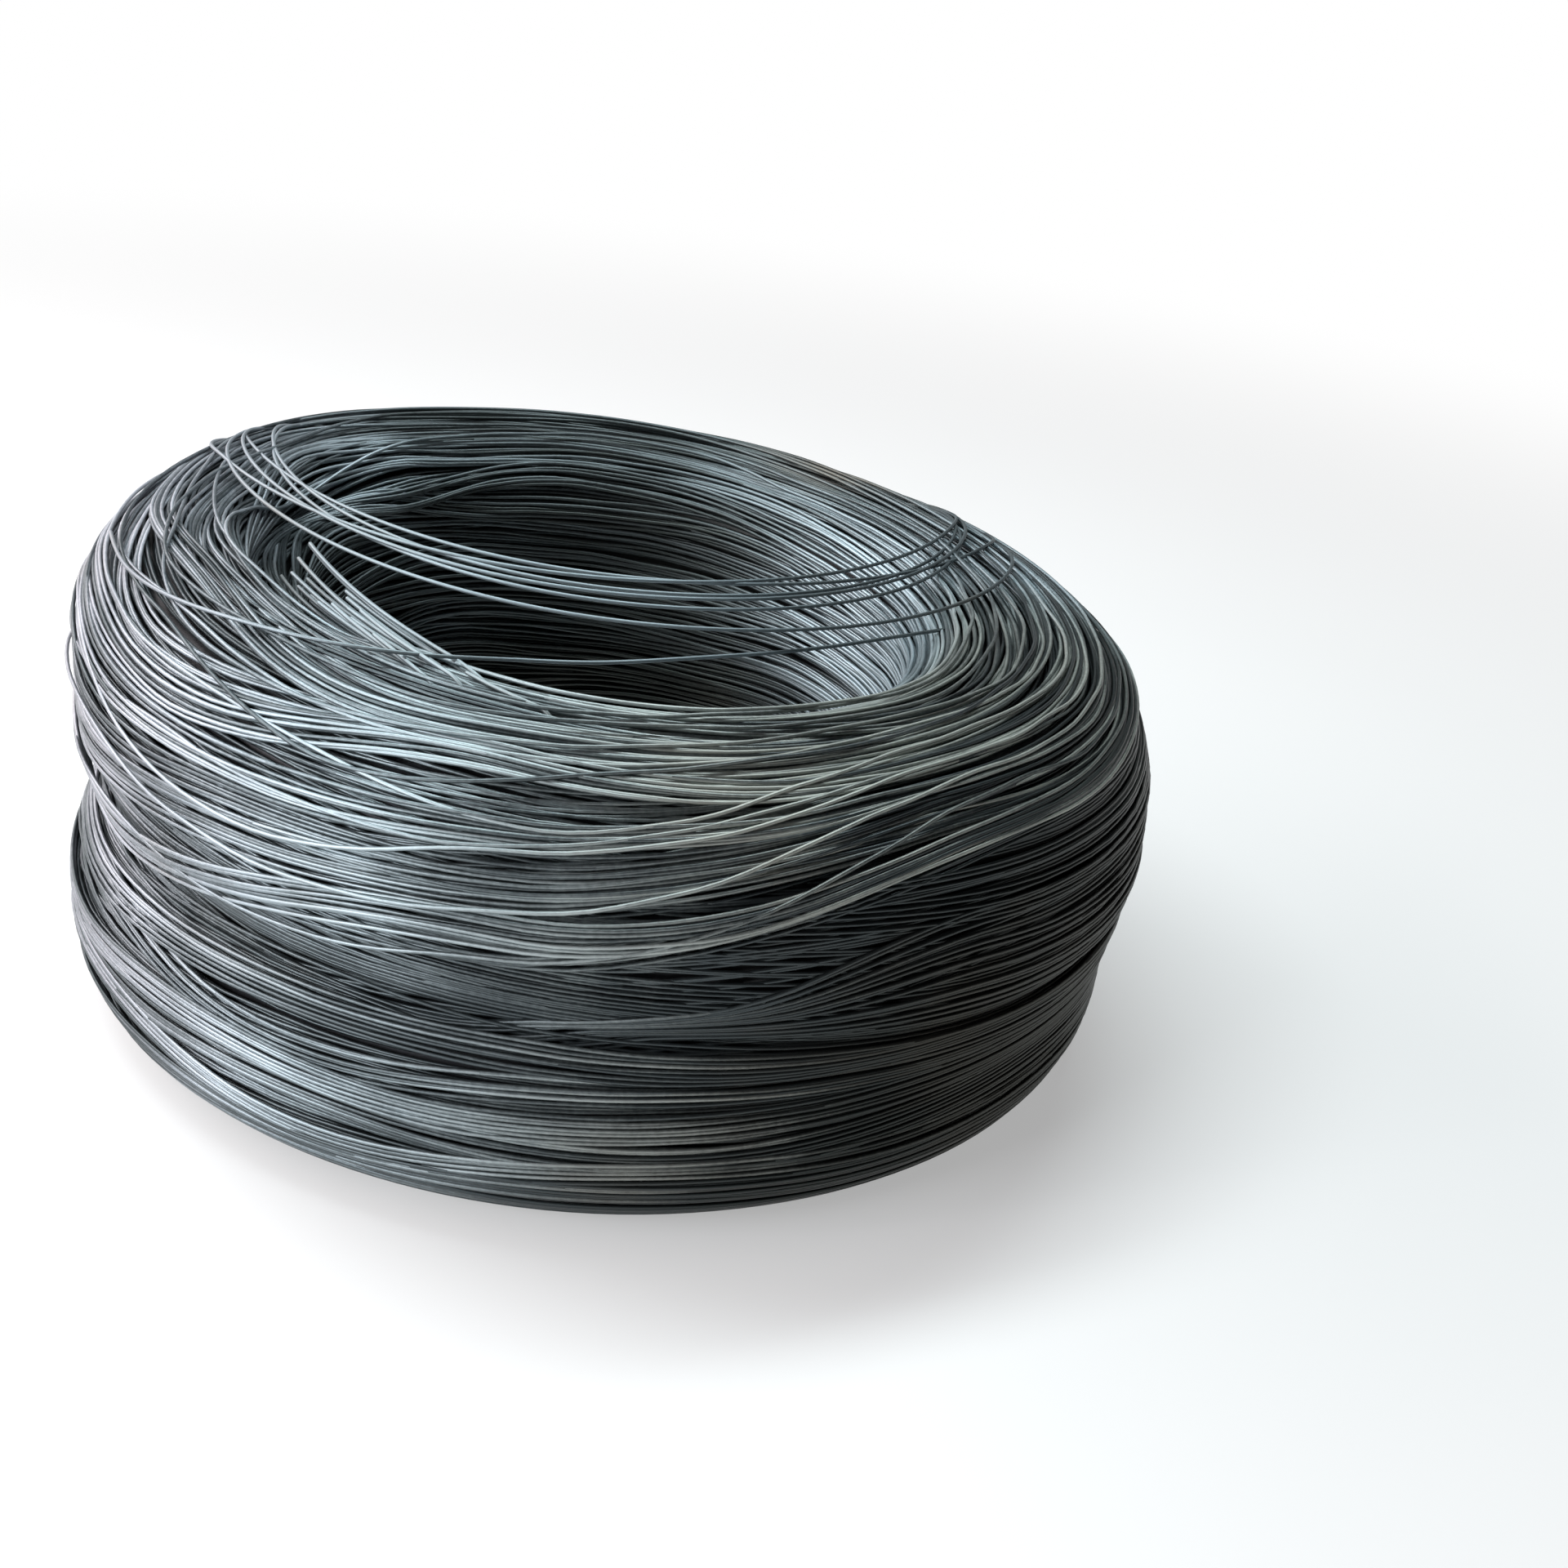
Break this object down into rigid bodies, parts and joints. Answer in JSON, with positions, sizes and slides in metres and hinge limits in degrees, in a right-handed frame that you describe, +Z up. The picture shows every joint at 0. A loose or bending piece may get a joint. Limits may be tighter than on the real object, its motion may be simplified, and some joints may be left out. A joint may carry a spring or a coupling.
{
  "type": "coil of annealed steel wire",
  "caption": "Loose coil of black annealed steel wire wound in two lays round an open bore, standing on its end, with slack turns across the mouth of the bore.",
  "frame": {"origin": "centre of the base, on the coil's axis, on the floor that the coil stands on", "axes": "+Z up along the coil's axis, -Y towards the viewer in the picture, +X to the viewer's right"},
  "size_m": [0.56, 0.5598, 0.2342],
  "materials": {
    "wire": "satin black annealing oxide on drawn low-carbon steel wire, lightly oiled, with faint brown patches"
  },
  "bodies": {
    "root": {"coil": "wire", "slack_turns": "wire"}
  },
  "joints": []
}
